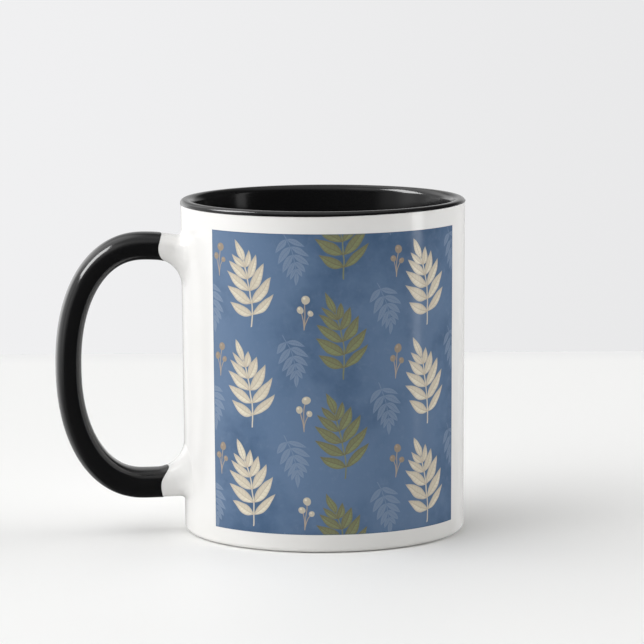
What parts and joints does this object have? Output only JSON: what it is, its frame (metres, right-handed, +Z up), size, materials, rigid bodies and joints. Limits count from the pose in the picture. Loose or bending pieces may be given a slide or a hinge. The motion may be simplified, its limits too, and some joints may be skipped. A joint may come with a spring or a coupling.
{
  "type": "mug",
  "caption": "Straight-sided ceramic mug with a D-shaped handle, glazed white outside and black inside, with a printed panel on one side, a quarter turn from the handle.",
  "frame": {"origin": "on the table under the mug, at the middle of the space that the mug and its handle take up; the mug's own axis is 18.2 mm from it along +X", "axes": "+Z up out of the mouth, -X out through the handle, -Y towards the middle of the printed panel"},
  "size_m": [0.1184, 0.082, 0.096],
  "materials": {
    "white_glaze": "gloss",
    "black_glaze": "gloss",
    "print": "gloss",
    "bare_clay": "matte"
  },
  "bodies": {
    "root": {"body": "white_glaze", "inner_glaze": "black_glaze", "rim": "black_glaze", "foot_ring": "bare_clay", "printed_panel": "print", "handle_grip": "black_glaze", "handle_root_upper": "white_glaze", "handle_root_lower": "white_glaze"}
  },
  "joints": []
}
